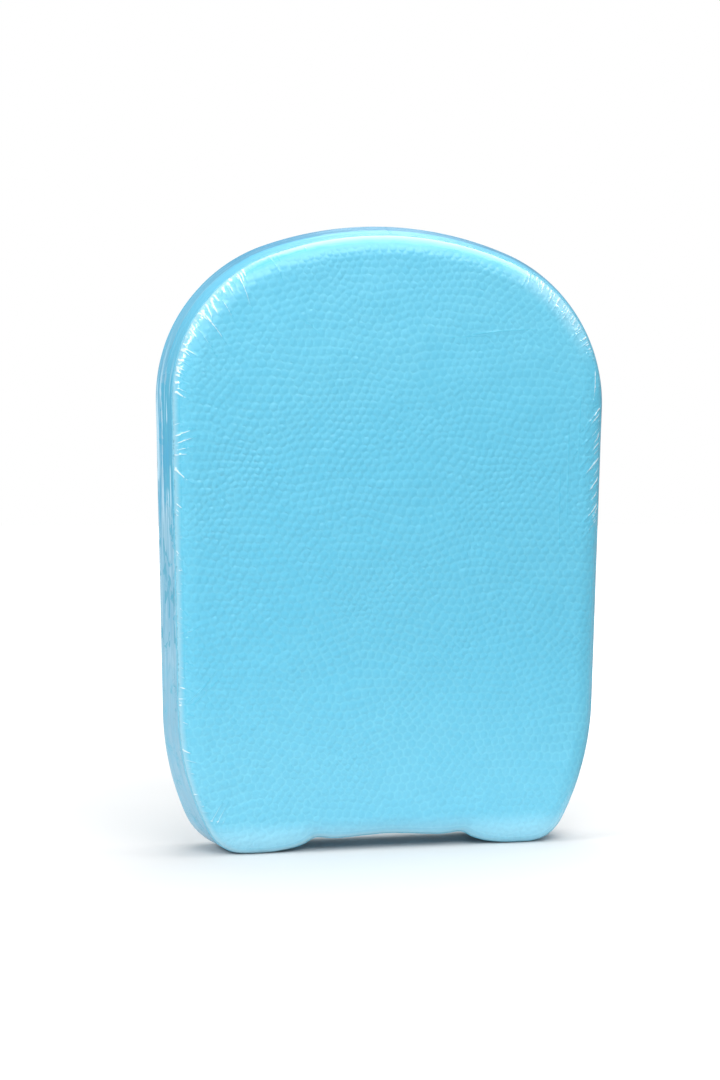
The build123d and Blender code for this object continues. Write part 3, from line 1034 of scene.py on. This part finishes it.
deck_look = film_material("deck_film")
weld_look = weld_material()
for piece, node, slot, look in (
    (deck, "deck_film", "deck_film", deck_look),
    (hull, "hull_film", "hull_film", film_material("hull_film")),
    (rail, "rail_band", "rail_film", rail_material()),
    (deck_seal, "deck_seal_bead", "weld_bead", weld_look),
    (hull_seal, "hull_seal_bead", "weld_bead", weld_look),
    (tape, "band_splice", "splice_tape", tape_material()),
):
    piece.data.materials.append(look)
    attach(piece, "root")
    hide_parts(node)

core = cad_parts["foam_core"]
core.data.materials.clear()
core.data.materials.append(foam_material())

# ---------------------------------------------------------------- floor, light, camera (m, W)
FLOOR_REACH = 6.0
floor_mesh = bpy.data.meshes.new("floor")
corners = [
    (x * FLOOR_REACH, y * FLOOR_REACH, 0.0)
    for x, y in ((-1.0, -1.0), (1.0, -1.0), (1.0, 1.0), (-1.0, 1.0))
]
floor_mesh.from_pydata(corners, [], [(0, 1, 2, 3)])
floor = bpy.data.objects.new("floor", floor_mesh)
bpy.context.scene.collection.objects.link(floor)

paper = Nodes(bpy.data.materials.new("floor_paper"))
seen = paper.add("ShaderNodeLightPath").outputs["Is Camera Ray"]
reach = paper.add("ShaderNodeVectorMath", {0: paper.place()}, operation="LENGTH").outputs["Value"]
aside = paper.axis("X")
# the paper as it is seen, and the light that it throws back up at the board, less on the right
shown = paper.blend(paper.noise(3.0, 2.0), grey(0.70), grey(0.71))
thrown = paper.blend(paper.span(reach, 0.15, 0.60), grey(0.80), grey(0.50))
thrown = paper.blend(paper.span(aside, 0.13, 0.28), thrown, grey(0.20))
paper.link(paper.blend(seen, thrown, shown), "Base Color")
# the paper sweeps away into an evenly lit background
glow = paper.times(paper.span(reach, 0.20, 1.1), paper.span(seen, 0.0, 1.0, 0.35, 1.0))
paper.link(paper.blend(glow, grey(0.0), grey(1.0)), "Emission Color")
paper.set(Roughness=0.9, Emission_Strength=0.80)
floor_mesh.materials.append(paper.owner)

# name, place, target, width and height, power
LIGHTS = (
    ("top_light", (0.38, 0.26, 1.7), (0.0, 0.0, 0.3), (1.6, 1.4), 25.5),
    ("key_light", (-1.12, -0.36, 0.86), (-0.1, 0.0, 0.32), (0.22, 0.34), 6.0),
    ("right_light", (1.10, -0.50, 0.95), (0.1, 0.0, 0.32), (0.12, 0.18), 1.5),
    ("front_light", (0.15, -1.6, 1.9), (0.0, 0.0, 0.2), (1.8, 1.3), 27.5),
)


def stand(thing, side, up, back, place):
    """Links an object that looks along -back from this place."""
    thing.matrix_world = Matrix([
        *[(side[i], up[i], back[i], place[i]) for i in range(3)],
        (0.0, 0.0, 0.0, 1.0),
    ])
    bpy.context.scene.collection.objects.link(thing)


for name, place, target, size, power in LIGHTS:
    lamp = bpy.data.lights.new(name, "AREA")
    lamp.shape = "RECTANGLE"
    lamp.size, lamp.size_y = size
    lamp.energy = power
    back = np.array(place) - np.array(target)
    back /= np.linalg.norm(back)
    side = np.cross((0.0, 0.0, 1.0), back)
    side /= np.linalg.norm(side)
    stand(bpy.data.objects.new(name, lamp), side, np.cross(back, side), back, place)

# the studio is white behind the board, and brighter above, in front and to the left
BRIGHT_WAY = (-0.36, -0.30, 0.80)
world = bpy.data.worlds.new("studio")
bpy.context.scene.world = world
studio = Nodes(world, "Background")
ways = {0: studio.add("ShaderNodeTexCoord").outputs["Generated"], 1: BRIGHT_WAY}
facing = studio.add("ShaderNodeVectorMath", ways, operation="DOT_PRODUCT").outputs["Value"]
rays = studio.add("ShaderNodeLightPath").outputs["Is Camera Ray"]
strength = studio.add("ShaderNodeMix", {
    "Factor": rays, "A": studio.span(facing, -0.6, 0.9, 0.08, 0.66, "LINEAR"), "B": 1.0,
})
studio.link(strength.outputs["Result"], "Strength")
studio.set(Color=grey(1.0))

CAMERA_YAW = math.radians(14.0)
CAMERA_PITCH = math.radians(2.357)
CAMERA_ROLL = math.radians(0.41)
CAMERA_PLACE = (-0.3164, -1.2031, 0.2506)
CAMERA_LENS = 63.33         # mm, on a sensor 36 mm wide
cos_yaw, sin_yaw = math.cos(CAMERA_YAW), math.sin(CAMERA_YAW)
cos_pitch, sin_pitch = math.cos(CAMERA_PITCH), math.sin(CAMERA_PITCH)
forward = np.array([sin_yaw * cos_pitch, cos_yaw * cos_pitch, -sin_pitch])
level = np.array([cos_yaw, -sin_yaw, 0.0])
right = level * math.cos(CAMERA_ROLL) + np.cross(level, forward) * math.sin(CAMERA_ROLL)
camera_data = bpy.data.cameras.new("camera")
camera_data.sensor_width = 36.0
camera_data.lens = CAMERA_LENS
camera_data.clip_end = 50.0
camera = bpy.data.objects.new("camera", camera_data)
stand(camera, right, np.cross(right, forward), -forward, CAMERA_PLACE)
bpy.context.scene.camera = camera
bpy.context.scene.view_settings.view_transform = "Standard"
bpy.context.scene.view_settings.look = "None"
